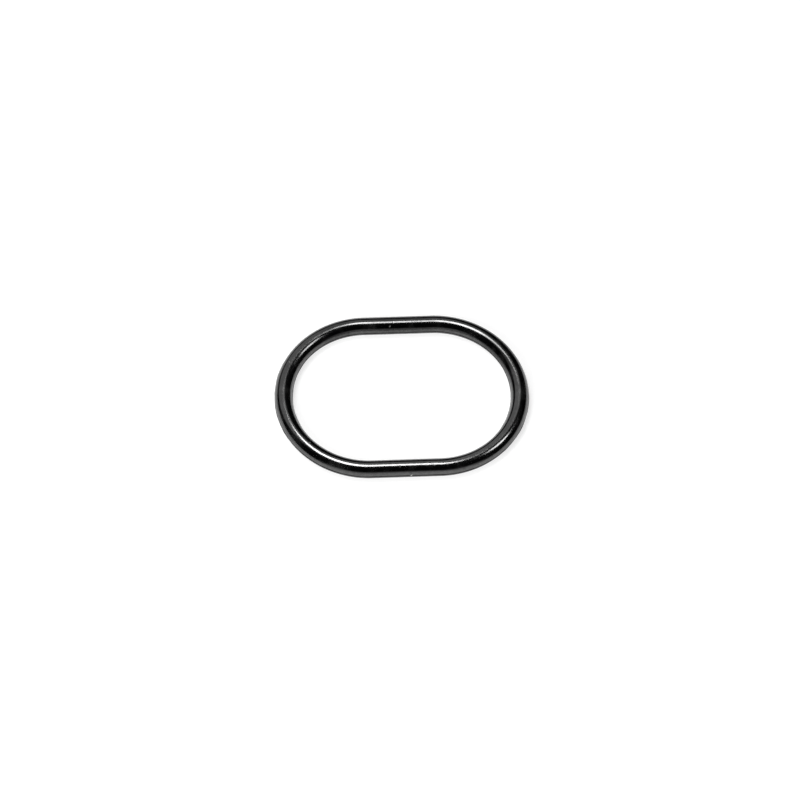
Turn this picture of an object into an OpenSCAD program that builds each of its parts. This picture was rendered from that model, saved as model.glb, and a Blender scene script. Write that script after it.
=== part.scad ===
// Moulded rubber sealing ring: one round section carried round a racetrack.
// The ring lies flat, with its length along X and its underside on z = 0.

/* [Opening] */
// Length of the opening, between the insides of the two round ends
opening_l = 43; // [34:0.5:80]
// Width of the opening, between the insides of the two straight sides
opening_w = 29.5; // [16:0.5:33]

/* [Section] */
// Diameter of the round section
section_d = 3.5; // [2:0.1:6]

/* [Parting line] */
// Height of the ridge that the joint of the mould leaves, inside and outside
ridge_h = 0.1; // [0.04:0.01:0.15]
// Width of the ridge across its flat crest
ridge_crest = 0.1; // [0.04:0.02:0.2]

/* [Hidden] */
$fn = 96;

section_r = section_d / 2;

// Centre line of the section: two half circles joined by two straights
end_r = opening_w / 2 + section_r;
straight_l = opening_l - opening_w;

// The ridge's flanks slope at 45 degrees and start this far inside the section
ridge_root = 2 * ridge_h;

// Round section, as the mould cuts it, with x pointing out of the ring
module ring_section() {
    circle(d = section_d);
    for (side = [0, 1])
        mirror([side, 0]) parting_ridge();
}

// Low ridge at the widest point of the section, where the mould halves met
module parting_ridge() {
    tip_x = section_r + ridge_h;
    root_x = section_r - ridge_root;
    half_crest = ridge_crest / 2;
    half_root = half_crest + tip_x - root_x;
    polygon([
        [root_x, -half_root],
        [tip_x, -half_crest],
        [tip_x, half_crest],
        [root_x, half_root]
    ]);
}

// Half circle about the origin, on the side that x points to
module round_end() {
    rotate([0, 0, -90])
        rotate_extrude(angle = 180)
            translate([end_r, 0]) ring_section();
}

// Straight run along X, centred on the origin
module straight_side() {
    rotate([90, 0, 90])
        linear_extrude(height = straight_l, center = true) ring_section();
}

// The whole ring, moulded in one piece
module sealing_ring() {
    color([0.07, 0.07, 0.075])
        translate([0, 0, section_r])
            for (turn = [0, 180])
                rotate([0, 0, turn]) {
                    translate([straight_l / 2, 0, 0]) round_end();
                    translate([0, end_r, 0]) straight_side();
                }
}

sealing_ring();
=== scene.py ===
"""Looks of a black rubber sealing ring: its moulded surface, a pale floor and studio light. Metres."""
import math
from collections import namedtuple

import bpy
from mathutils import Matrix, Vector, noise


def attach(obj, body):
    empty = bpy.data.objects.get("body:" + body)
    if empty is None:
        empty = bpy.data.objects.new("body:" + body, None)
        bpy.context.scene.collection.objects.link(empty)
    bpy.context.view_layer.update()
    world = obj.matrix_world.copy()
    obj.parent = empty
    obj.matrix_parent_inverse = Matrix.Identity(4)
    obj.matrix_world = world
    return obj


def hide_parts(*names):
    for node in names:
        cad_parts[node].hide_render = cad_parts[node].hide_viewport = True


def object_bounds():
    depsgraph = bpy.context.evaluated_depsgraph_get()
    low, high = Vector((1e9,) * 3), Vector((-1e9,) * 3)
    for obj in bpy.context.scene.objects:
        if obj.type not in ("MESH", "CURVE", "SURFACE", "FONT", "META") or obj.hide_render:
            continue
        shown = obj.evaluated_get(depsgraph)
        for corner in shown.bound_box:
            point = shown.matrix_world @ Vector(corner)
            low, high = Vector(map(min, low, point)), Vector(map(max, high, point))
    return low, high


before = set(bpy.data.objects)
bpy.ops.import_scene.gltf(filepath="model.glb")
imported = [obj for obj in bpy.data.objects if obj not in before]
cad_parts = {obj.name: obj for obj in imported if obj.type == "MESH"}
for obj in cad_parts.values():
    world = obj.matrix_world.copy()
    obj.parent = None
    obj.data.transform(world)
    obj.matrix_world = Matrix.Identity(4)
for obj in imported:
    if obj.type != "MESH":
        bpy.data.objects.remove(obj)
cad_low, cad_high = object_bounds()

MM = 0.001

# The moulded ridge round the widest line of the section, inside and outside
RIDGE_H = 0.1 * MM
RIDGE_CREST = 0.1 * MM

# The ring's other sizes, worked out from the CAD solid's box
SECTION_R = (cad_high.z - cad_low.z) / 2
END_R = (cad_high.y - cad_low.y) / 2 - RIDGE_H - SECTION_R
HALF_STRAIGHT = (cad_high.x - cad_low.x) / 2 - RIDGE_H - SECTION_R - END_R
RING_CENTRE = Vector((0, 0, SECTION_R))
STRAIGHT_RUN = 2 * HALF_STRAIGHT
END_RUN = math.pi * END_R
CENTRE_LINE = 2 * (STRAIGHT_RUN + END_RUN)


def add_object(name, data):
    """Puts a new object with that data in the scene."""
    made = bpy.data.objects.new(name, data)
    bpy.context.scene.collection.objects.link(made)
    return made


def direction(azimuth, elevation):
    """Unit vector at an angle round from +X towards +Y and an angle above the floor, in degrees."""
    a, e = math.radians(azimuth), math.radians(elevation)
    return Vector((math.cos(a) * math.cos(e), math.sin(a) * math.cos(e), math.sin(e)))


# Camera

# The photograph's frame and what is measured in it, in pixels
FRAME_PX = 800
RING_CENTRE_PX = (401.3, 395.7)
END_R_PX = 83.9

# The photograph's viewing direction, in degrees, and a distance at which the view is all but parallel
VIEW_AZIMUTH = -5.5
VIEW_ELEVATION = 58.4
VIEW_ROLL = 2.9
VIEW_DISTANCE = 60 * END_R
VIEW_NEAREST = 0.01
VIEW_FARTHEST = 10


def make_camera():
    """A long lens that looks down on the ring, turned a little, as the photograph does."""
    data = bpy.data.cameras.new("camera")
    data.lens = data.sensor_width * END_R_PX * VIEW_DISTANCE / END_R / FRAME_PX
    data.clip_start = VIEW_NEAREST
    data.clip_end = VIEW_FARTHEST
    camera = add_object("camera", data)
    back = direction(VIEW_AZIMUTH - 90, VIEW_ELEVATION)
    level_right = direction(VIEW_AZIMUTH, 0)
    level_up = back.cross(level_right)
    roll = math.radians(VIEW_ROLL)
    right = math.cos(roll) * level_right + math.sin(roll) * level_up
    up = math.cos(roll) * level_up - math.sin(roll) * level_right
    pixel = END_R / END_R_PX
    middle_px = (FRAME_PX - 1) / 2
    aim = RING_CENTRE - right * (RING_CENTRE_PX[0] - middle_px) * pixel
    aim += up * (RING_CENTRE_PX[1] - middle_px) * pixel
    turn = Matrix((right, up, back)).transposed().to_4x4()
    camera.matrix_world = Matrix.Translation(aim + back * VIEW_DISTANCE) @ turn
    bpy.context.scene.camera = camera


# Ring surface

# Its mesh: rings along the run, the step round the smooth skin in degrees, and rows up a ridge's flank
RINGS_ALONG = 1080
COARSE_STEP = 5.0
FLANK_SHARES = (0.3, 0.65, 1, 1.35)

# Angles from the section's widest point to the ridge's crest and root and to where its duller band ends.
# The root has a little room, because the skin curves away under the flanks.
ROOT_ROOM = 1.1
CREST_ANGLE = math.degrees(RIDGE_CREST / 2 / SECTION_R)
ROOT_ANGLE = math.degrees((RIDGE_CREST / 2 + RIDGE_H) / SECTION_R) * ROOT_ROOM
TRIM_ANGLE = 11.0

# The ridge's torn edge, in shares of its full height: its mean, its lowest, and its swells and nicks
EDGE_MEAN = 0.72
EDGE_LOWEST = 0.3
EDGE_SWELL = 0.5
EDGE_SWELL_LENGTH = 2.6 * MM
EDGE_NICK = 0.25
EDGE_NICK_LENGTH = 0.7 * MM

# Seeds that keep one noise apart from another
OUTER_EDGE_SEED = 11
INNER_EDGE_SEED = 31
NICK_SEED_STEP = 7
DULL_SEED = 53


def near_run(x):
    """Run along the ring of a place on the near straight."""
    return HALF_STRAIGHT + x


def far_run(x):
    """Run along the ring of a place on the far straight."""
    return STRAIGHT_RUN + END_RUN + HALF_STRAIGHT - x


# Small marks: shallow dents, some with pale colour. Their slant is from along the ring, in degrees, and pale
# is their share of the pale mark colour.
Mark = namedtuple("Mark", "run angle length width slant depth pale")
MARKS = [
    Mark(far_run(-1.6 * MM), 126, 0.22 * MM, 0.16 * MM, 0, 0.03 * MM, 0.6),
    Mark(far_run(-0.9 * MM), 101, 0.16 * MM, 0.45 * MM, 0, 0.02 * MM, 0.0),
    Mark(near_run(-1.3 * MM), 71, 0.30 * MM, 0.15 * MM, 0, 0.03 * MM, 0.3),
    Mark(near_run(0.9 * MM), 4, 0.6 * MM, 0.18 * MM, 55, 0.05 * MM, 1.0),
]

# Stretches on the far straight whose gloss is turned down: painted shade that dims the highlight there and
# shortens its ends. The run of their middle, their length and the share of gloss lost
PAINTED_SHADE_STRETCHES = [
    (far_run(0), 66 * MM, 0.26),
    (far_run(0.5 * MM), 17 * MM, 0.42),
    (far_run(22.5 * MM), 12 * MM, 0.66),
    (far_run(-12.5 * MM), 8 * MM, 0.48),
]

# Faint dull patches everywhere else: their length, their mean level and the share of gloss that they take
DULL_PATCH = 5 * MM
DULL_PATCH_LEVEL = 0.4
DULL_PATCH_SHARE = 0.12


def centre_line(run):
    """Point on the plan's centre line at that run along it, and the way out of the ring there."""
    run %= CENTRE_LINE
    if run < STRAIGHT_RUN:
        return Vector((run - HALF_STRAIGHT, -END_R, 0)), Vector((0, -1, 0))
    run -= STRAIGHT_RUN
    if run < END_RUN:
        out = direction(math.degrees(run / END_R) - 90, 0)
        return Vector((HALF_STRAIGHT, 0, 0)) + out * END_R, out
    run -= END_RUN
    if run < STRAIGHT_RUN:
        return Vector((HALF_STRAIGHT - run, END_R, 0)), Vector((0, 1, 0))
    run -= STRAIGHT_RUN
    out = direction(math.degrees(run / END_R) + 90, 0)
    return Vector((-HALF_STRAIGHT, 0, 0)) + out * END_R, out


def section_angles():
    """Angles round the section in degrees, from straight out of the ring, closest at the two ridges."""
    flank = ROOT_ANGLE - CREST_ANGLE
    fine = [0, CREST_ANGLE / 2, CREST_ANGLE]
    fine += [CREST_ANGLE + flank * share for share in FLANK_SHARES]
    first, last = fine[-1], 180 - fine[-1]
    steps = round((last - first) / COARSE_STEP)
    half = fine + [first + (last - first) * n / steps for n in range(1, steps)]
    half += [180 - a for a in reversed(fine[1:])]
    return half + [a + 180 for a in half]


def loop_noise(run, length, seed):
    """Smooth noise from about -1 to 1 along the ring that meets itself, with swells of about that length."""
    turn = 2 * math.pi * run / CENTRE_LINE
    radius = CENTRE_LINE / (2 * math.pi * length)
    return noise.noise(Vector((math.cos(turn) * radius, math.sin(turn) * radius, seed)))


def ridge_height(run, outside):
    """Height of the ridge there: the flash was torn off, so it is a little uneven."""
    seed = OUTER_EDGE_SEED if outside else INNER_EDGE_SEED
    share = EDGE_MEAN + EDGE_SWELL * loop_noise(run, EDGE_SWELL_LENGTH, seed)
    share += EDGE_NICK * loop_noise(run, EDGE_NICK_LENGTH, seed + NICK_SEED_STEP)
    return RIDGE_H * min(max(share, EDGE_LOWEST), 1)


def dulled_and_shaded_share(run):
    """How much of the gloss is taken off at that run along the ring: faint dull patches, and painted shade
    on stretches of the far straight.
    """
    dulled_and_shaded = max(DULL_PATCH_SHARE * (DULL_PATCH_LEVEL + loop_noise(run, DULL_PATCH, DULL_SEED)), 0)
    for middle, length, most in PAINTED_SHADE_STRETCHES:
        along = math.remainder(run - middle, CENTRE_LINE)
        dulled_and_shaded = max(dulled_and_shaded, most * math.exp(-(2 * along / length) ** 4))
    return dulled_and_shaded


def mark_share(mark, run, angle):
    """How much of a mark is at a place, from 0 to 1."""
    along = math.remainder(run - mark.run, CENTRE_LINE)
    across = math.radians(math.remainder(angle - mark.angle, 360)) * SECTION_R
    turn = math.radians(mark.slant)
    u = along * math.cos(turn) + across * math.sin(turn)
    v = across * math.cos(turn) - along * math.sin(turn)
    return math.exp(-(2 * u / mark.length) ** 2 - (2 * v / mark.width) ** 2)


def surface(run, angle):
    """Distance of the skin from the section's centre, and the shares of the ridge's band and of pale marks.
    """
    a = math.radians(angle)
    off_ridge = abs(math.remainder(angle, 180))
    radius = SECTION_R
    if off_ridge < 2 * ROOT_ANGLE:
        height = ridge_height(run, math.cos(a) > 0)
        c, s = abs(math.cos(a)), abs(math.sin(a))
        crest = (SECTION_R + height) / c
        flank = (SECTION_R + height + RIDGE_CREST / 2) / (c + s)
        radius = max(SECTION_R, min(crest, flank))
    trimmed = min(max((TRIM_ANGLE - off_ridge) / (TRIM_ANGLE - ROOT_ANGLE), 0), 1)
    pale = 0.0
    for mark in MARKS:
        share = mark_share(mark, run, angle)
        radius -= mark.depth * share
        pale = max(pale, mark.pale * share)
    return radius, trimmed, pale


def make_ring():
    """The ring as one closed mesh, with what its material needs stored on its points."""
    angles = section_angles()
    across = len(angles)
    points, trims, pales, around, turns, dull_and_shade_shares = [], [], [], [], [], []
    for i in range(RINGS_ALONG):
        run = CENTRE_LINE * i / RINGS_ALONG
        turn = 2 * math.pi * i / RINGS_ALONG
        centre, out = centre_line(run)
        # Gloss taken off here: faint dull patches, and painted shade that dims the far straight's highlight
        dull_and_shade_shares += [dulled_and_shaded_share(run)] * across
        for angle in angles:
            radius, trimmed, pale = surface(run, angle)
            c, s = math.cos(math.radians(angle)), math.sin(math.radians(angle))
            points.append(RING_CENTRE + centre + out * c * radius + Vector((0, 0, s * radius)))
            trims.append(trimmed)
            pales.append(pale)
            around += [c, s, math.cos(turn)]
            turns.append(math.sin(turn))
    faces = []
    for i in range(RINGS_ALONG):
        here, there = i * across, (i + 1) % RINGS_ALONG * across
        for j in range(across):
            k = (j + 1) % across
            faces.append((here + j, there + j, there + k, here + k))
    mesh = bpy.data.meshes.new("ring_surface")
    mesh.from_pydata(points, [], faces)
    mesh.shade_smooth()
    for name, values in (("trimmed", trims), ("pale", pales), ("dulled_and_shaded", dull_and_shade_shares), ("turn", turns)):
        mesh.attributes.new(name, "FLOAT", "POINT").data.foreach_set("value", values)
    mesh.attributes.new("around", "FLOAT_VECTOR", "POINT").data.foreach_set("vector", around)
    return add_object("ring_surface", mesh)


# Shader building

def new_tree(owner):
    """The owner's node tree, emptied."""
    owner.use_nodes = True
    owner.node_tree.nodes.clear()
    return owner.node_tree


def add_node(tree, kind, inputs, **settings):
    """A new node. An input that is another node's output is linked, and any other is set."""
    made = tree.nodes.new(kind)
    for name, value in settings.items():
        setattr(made, name, value)
    for name, value in inputs.items():
        if isinstance(value, bpy.types.NodeSocket):
            tree.links.new(value, made.inputs[name])
        else:
            made.inputs[name].default_value = value
    return made


def stored(tree, name, output="Fac"):
    """What the mesh's points store under that name."""
    return add_node(tree, "ShaderNodeAttribute", {}, attribute_name=name).outputs[output]


def noise_value(tree, place, grain, **inputs):
    """Noise from 0 to 1. Its grain is how many features go on a metre, and its octaves."""
    scale, octaves = grain
    settings = {"noise_dimensions": "4D"} if inputs else {}
    sockets = {"Vector": place, "Scale": scale, "Detail": octaves, **inputs}
    return add_node(tree, "ShaderNodeTexNoise", sockets, **settings).outputs["Fac"]


def ramp(tree, source, span, result, shape="LINEAR"):
    """The source's span from low to high carried over to another pair of values, and held beyond it."""
    sockets = {"Value": source, "From Min": span[0], "From Max": span[1]}
    sockets |= {"To Min": result[0], "To Max": result[1]}
    return add_node(tree, "ShaderNodeMapRange", sockets, interpolation_type=shape).outputs["Result"]


def maths(tree, operation, *values):
    """One step of arithmetic."""
    return add_node(tree, "ShaderNodeMath", dict(enumerate(values)), operation=operation).outputs[0]


def mix(tree, share, a, b, kind="FLOAT"):
    """From one number or colour to another by a share."""
    sockets = {"Factor": share, "A": a, "B": b}
    return add_node(tree, "ShaderNodeMix", sockets, data_type=kind).outputs["Result"]


def bump(tree, height, depth, under=None):
    """Bends the surface's direction by a height map of that depth, on top of another bump."""
    sockets = {"Height": height, "Distance": depth, "Strength": 1.0}
    if under:
        sockets["Normal"] = under
    return add_node(tree, "ShaderNodeBump", sockets).outputs["Normal"]


# Rubber

# The grain of each noise: features on a metre, or on the section's radius for the lines, and octaves
PATCHES = (350, 6)
SWELLS = (900, 1)
MOTTLE = (1700, 3)
SPECKS = (2600, 5)
GRAIN = (14000, 3)
FLOW_LINES = (13, 3)

# The spans of each noise in which it takes effect
FULL_SPAN = (0.3, 0.7)
GLOSS_SPAN = (0.35, 0.65)
ROUGH_SPAN = (0.45, 0.7)
BLOOM_SPAN = (0.45, 0.75)
DUSTY_SPAN = (0.5, 0.65)
SPECK_SPAN = (0.3, 0.75)

# Specks of dust: cells on a metre, a speck's reach in its cell, and the share of the cells with none
DUST_CELLS = 650
DUST_REACH = (0.05, 0.09)
DUST_NONE = (0.72, 0.74)

# The dusty film: how far it reaches from the ridge's line, in section radii, and its share on patches
FILM_REACH = (0.2, 0.65)
FILM_PATCHES = (0.0, 0.2)

# Roughness of the skin, what the mottle adds to it, and that of the torn ridge, of dust and of pale marks
SATIN = (0.13, 0.17)
MOTTLE_ROUGHER = (0, 0.02)
TORN = (0.3, 0.5)
DUST_ROUGHNESS = 0.7
PALE_MARK_ROUGHNESS = 0.6

# The share of gloss that the mottle leaves, and the share that the torn ridge loses
MOTTLE_GLOSS = (0.9, 0.7)
TORN_GLOSS_LOST = 0.55

# Depths of the bumps, and the share of the grain's on the smooth skin and on the torn ridge
SWELL_DEPTH = 0.003 * MM
LINE_DEPTH = 0.00012 * MM
GRAIN_DEPTH = 0.0003 * MM
GRAIN_SHARE = (0.05, 1)

BLACK = (0.0008, 0.0008, 0.0009, 1)
BLOOMED = (0.003, 0.003, 0.0032, 1)
FILMED = (0.055, 0.055, 0.054, 1)
DUST_GREY = (0.11, 0.11, 0.105, 1)
PALE_MARK_GREY = (0.5, 0.5, 0.48, 1)

RUBBER_IOR = 1.6
RUBBER_SPECULAR = 1.0


def dust_specks(tree, place):
    """1 on a few scattered specks of dust and 0 off them."""
    cells = add_node(tree, "ShaderNodeTexVoronoi", {"Vector": place, "Scale": DUST_CELLS}).outputs
    speck = ramp(tree, cells["Distance"], DUST_REACH, (1, 0))
    chosen = ramp(tree, cells["Color"], DUST_NONE, (0, 1))
    return maths(tree, "MULTIPLY", speck, chosen)


def rubber_film(tree, place, patches, trimmed):
    """Share of dusty film: speckled, thickest on both sides of the ridge and faint on patches elsewhere."""
    up = add_node(tree, "ShaderNodeSeparateXYZ", {"Vector": stored(tree, "around", "Vector")}).outputs["Y"]
    near_ridge = ramp(tree, maths(tree, "ABSOLUTE", up), FILM_REACH, (1, 0), "SMOOTHSTEP")
    foot = maths(tree, "MULTIPLY", near_ridge, maths(tree, "SUBTRACT", 1.0, trimmed))
    dusty = ramp(tree, patches, DUSTY_SPAN, FILM_PATCHES)
    specks = ramp(tree, noise_value(tree, place, SPECKS), SPECK_SPAN, (0, 1))
    return maths(tree, "MULTIPLY", maths(tree, "MAXIMUM", foot, dusty), specks)


def rubber_colour(tree, film, patches, dust, pale):
    """Black with faint bloom, under the film, the dust and the pale marks."""
    bloom = ramp(tree, patches, BLOOM_SPAN, (0, 1))
    colour = mix(tree, bloom, BLACK, BLOOMED, "RGBA")
    for share, over in ((film, FILMED), (dust, DUST_GREY), (pale, PALE_MARK_GREY)):
        colour = mix(tree, share, colour, over, "RGBA")
    return colour


def rubber_roughness(tree, patches, mottle, grain, trimmed, dust, pale):
    """Satin in patches, rougher on the torn ridge, on dust and on pale marks."""
    satin = ramp(tree, patches, FULL_SPAN, SATIN)
    satin = maths(tree, "ADD", satin, ramp(tree, mottle, ROUGH_SPAN, MOTTLE_ROUGHER))
    rough = mix(tree, trimmed, satin, ramp(tree, grain, FULL_SPAN, TORN))
    rough = mix(tree, dust, rough, DUST_ROUGHNESS)
    return mix(tree, pale, rough, PALE_MARK_ROUGHNESS)


def rubber_gloss(tree, mottle, trimmed):
    """Share of a clean skin's shine: less on mottle, dull patches and the torn ridge, and where painted
    shade dims the far straight's highlight.
    """
    torn = maths(tree, "MULTIPLY", trimmed, TORN_GLOSS_LOST)
    # The stored share holds painted shade that dims the far straight's highlight, as well as faint dull
    # patches
    dull_and_shade = maths(tree, "MAXIMUM", stored(tree, "dulled_and_shaded"), torn)
    shine = maths(tree, "SUBTRACT", 1.0, dull_and_shade)
    return maths(tree, "MULTIPLY", ramp(tree, mottle, GLOSS_SPAN, MOTTLE_GLOSS), shine)


def rubber_normal(tree, place, grain, trimmed):
    """Low swells, fine flow lines along the ring, and grain that is deepest on the torn ridge."""
    lines = noise_value(tree, stored(tree, "around", "Vector"), FLOW_LINES, W=stored(tree, "turn"))
    grain = maths(tree, "MULTIPLY", grain, ramp(tree, trimmed, (0, 1), GRAIN_SHARE))
    normal = bump(tree, noise_value(tree, place, SWELLS), SWELL_DEPTH)
    normal = bump(tree, lines, LINE_DEPTH, normal)
    return bump(tree, grain, GRAIN_DEPTH, normal)


def make_rubber():
    """Black moulded rubber: a satin skin with bloom, dust, a duller ridge, a few pale marks, and painted
    shade that dims the far straight's shine.
    """
    material = bpy.data.materials.new("black_rubber")
    tree = new_tree(material)
    place = add_node(tree, "ShaderNodeTexCoord", {}).outputs["Object"]
    trimmed = stored(tree, "trimmed")
    pale = stored(tree, "pale")
    patches = noise_value(tree, place, PATCHES)
    mottle = noise_value(tree, place, MOTTLE)
    grain = noise_value(tree, place, GRAIN)
    dust = dust_specks(tree, place)
    film = rubber_film(tree, place, patches, trimmed)
    sockets = {
        "Base Color": rubber_colour(tree, film, patches, dust, pale),
        "Roughness": rubber_roughness(tree, patches, mottle, grain, trimmed, dust, pale),
        "Normal": rubber_normal(tree, place, grain, trimmed),
        "IOR": RUBBER_IOR,
        "Specular IOR Level": RUBBER_SPECULAR,
        "Specular Tint": rubber_gloss(tree, mottle, trimmed),
    }
    shader = add_node(tree, "ShaderNodeBsdfPrincipled", sockets)
    add_node(tree, "ShaderNodeOutputMaterial", {"Surface": shader.outputs["BSDF"]})
    return material


# Studio

# The floor. Its glow is what the camera sees, mixed with lit paper near the ring to keep the shadow.
FLOOR_SIZE = 12.0
FLOOR_WHITE = (0.95, 0.95, 0.95, 1)
GLOW_REACH = (0.12, 0.6)
GLOW_SHARE = (0.56, 1.0)
MIRRORED_SHARE = 0.5
PAPER_GLOW = 1.33

# A pale wall: its azimuth and elevation, the cosines from there between which it starts and is full,
# and the glow of the dim room and of the wall
WALL_WAY = (120, 46)
WALL_EDGE = (0.82, 0.9)
WALL_GLOW = (0.004, 0.84)

# A low glow in front: where it fades upwards, and where it starts and is full on the way round to the front
LOW_EDGE = (0, 0.45)
FRONT_EDGE = (-0.55, -0.9)

WHITE = (1, 1, 1, 1)
LAMP_DISTANCE = 0.6


def make_floor():
    """A white floor that keeps the ring's shadow."""
    half = FLOOR_SIZE / 2
    mesh = bpy.data.meshes.new("floor")
    corners = [(-half, -half, 0), (half, -half, 0), (half, half, 0), (-half, half, 0)]
    mesh.from_pydata(corners, [], [(0, 1, 2, 3)])
    floor = add_object("floor", mesh)
    material = bpy.data.materials.new("white_floor")
    tree = new_tree(material)
    place = add_node(tree, "ShaderNodeTexCoord", {}).outputs["Object"]
    away = add_node(tree, "ShaderNodeVectorMath", {0: place}, operation="LENGTH").outputs["Value"]
    spread = ramp(tree, away, GLOW_REACH, GLOW_SHARE, "SMOOTHSTEP")
    path = add_node(tree, "ShaderNodeLightPath", {}).outputs
    seen = maths(tree, "MAXIMUM", path["Is Camera Ray"], path["Is Transmission Ray"])
    mirrored = maths(tree, "MULTIPLY", path["Is Glossy Ray"], MIRRORED_SHARE)
    glow = maths(tree, "MAXIMUM", maths(tree, "MULTIPLY", seen, spread), mirrored)
    paper = add_node(tree, "ShaderNodeBsdfDiffuse", {"Color": FLOOR_WHITE}).outputs["BSDF"]
    white = add_node(tree, "ShaderNodeEmission", {"Strength": PAPER_GLOW}).outputs["Emission"]
    shader = add_node(tree, "ShaderNodeMixShader", {"Fac": glow, 1: paper, 2: white}).outputs["Shader"]
    add_node(tree, "ShaderNodeOutputMaterial", {"Surface": shader})
    mesh.materials.append(material)


def make_softbox(name, way, size, brightness, turn=0):
    """A soft oval lamp that faces the ring.

    Its way is an azimuth and an elevation from the ring, and its size is a width and a height.
    Its brightness is what a mirror would show of it, and its turn is about the line to the ring.
    """
    width, height = size
    data = bpy.data.lights.new(name, "AREA")
    data.shape = "ELLIPSE"
    data.size = width
    data.size_y = height
    data.energy = brightness * math.pi * width * height * math.pi / 4
    lamp = add_object(name, data)
    towards = direction(*way)
    facing = towards.to_track_quat("Z", "Y").to_matrix().to_4x4()
    spin = Matrix.Rotation(math.radians(turn), 4, "Z")
    lamp.matrix_world = Matrix.Translation(RING_CENTRE + towards * LAMP_DISTANCE) @ facing @ spin
    lamp.visible_camera = False
    return lamp


def make_lamps():
    """Two softboxes that are seen in the ring's shine alone, and two lamps that are not seen in it."""
    shine = [
        make_softbox("main_softbox", (105, 74.2), (0.235, 0.24), brightness=18.3, turn=6),
        make_softbox("right_softbox", (3, 58.7), (0.145, 0.18), brightness=12.2, turn=-46),
    ]
    fill = [
        make_softbox("window", (162, 76), (0.26, 0.26), brightness=9),
        make_softbox("front_fill", (228, 35), (0.45, 0.34), brightness=7.6),
    ]
    for lamp in shine:
        lamp.visible_diffuse = False
    for lamp in fill:
        lamp.visible_glossy = False


def make_world():
    """A dim room, paler on a wall behind on the left and low down in front, on a white background."""
    world = bpy.data.worlds.new("room")
    bpy.context.scene.world = world
    tree = new_tree(world)
    place = add_node(tree, "ShaderNodeTexCoord", {}).outputs["Generated"]
    wall_way = {0: place, 1: direction(*WALL_WAY)}
    towards_wall = add_node(tree, "ShaderNodeVectorMath", wall_way, operation="DOT_PRODUCT")
    wall = ramp(tree, towards_wall.outputs["Value"], WALL_EDGE, WALL_GLOW, "SMOOTHSTEP")
    way = add_node(tree, "ShaderNodeSeparateXYZ", {"Vector": place}).outputs
    low = ramp(tree, way["Z"], LOW_EDGE, (1, 0), "SMOOTHSTEP")
    front = ramp(tree, way["Y"], FRONT_EDGE, (0, 1), "SMOOTHSTEP")
    room = maths(tree, "MAXIMUM", wall, maths(tree, "MULTIPLY", low, front))
    path = add_node(tree, "ShaderNodeLightPath", {}).outputs
    seen = maths(tree, "MAXIMUM", path["Is Camera Ray"], path["Is Transmission Ray"])
    strength = maths(tree, "MAXIMUM", room, seen)
    light = add_node(tree, "ShaderNodeBackground", {"Color": WHITE, "Strength": strength})
    add_node(tree, "ShaderNodeOutputWorld", {"Surface": light.outputs["Background"]})


make_camera()
ring = make_ring()
ring.data.materials.append(make_rubber())
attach(ring, "root")
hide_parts("sealing_ring")
make_floor()
make_lamps()
make_world()
bpy.context.scene.view_settings.view_transform = "Standard"
